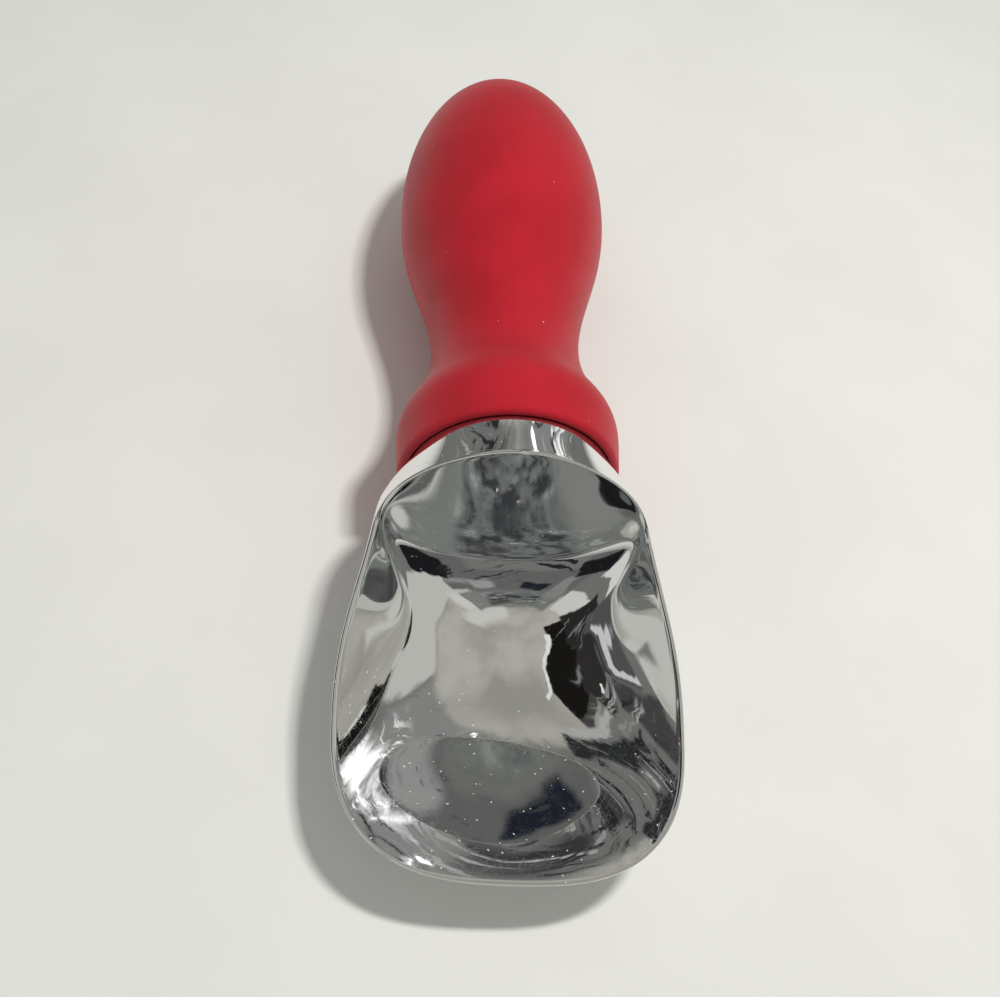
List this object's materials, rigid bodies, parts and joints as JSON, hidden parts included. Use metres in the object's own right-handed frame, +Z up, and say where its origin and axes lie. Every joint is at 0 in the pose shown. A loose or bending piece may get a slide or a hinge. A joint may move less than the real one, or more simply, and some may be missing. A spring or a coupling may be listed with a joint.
{
  "type": "ice cream scoop",
  "caption": "Solid ice cream scoop: bright plated bowl with a thin sloping rim on an egg-shaped neck, and a round red soft-grip handle with a bulb end, waist and flared collar.",
  "frame": {"origin": "on the table under the middle of the overall length and width, the scoop lying as in the picture", "axes": "+Y along the handle toward the bulb end, +Z up out of the open bowl, +X to the right seen from the bowl's end"},
  "size_m": [0.0597, 0.1879, 0.0434],
  "materials": {
    "plated_casting": "polished",
    "soft_grip": "matte",
    "core_plastic": "matte",
    "seal_rubber": "matte",
    "fastener_steel": "satin"
  },
  "bodies": {
    "root": {"scoop_head": "plated_casting", "grip_sleeve": "soft_grip", "handle_core": "core_plastic", "core_plug": "core_plastic", "neck_gasket": "seal_rubber", "tang_screw": "fastener_steel", "flat_washer": "fastener_steel", "lock_washer": "fastener_steel"}
  },
  "joints": []
}
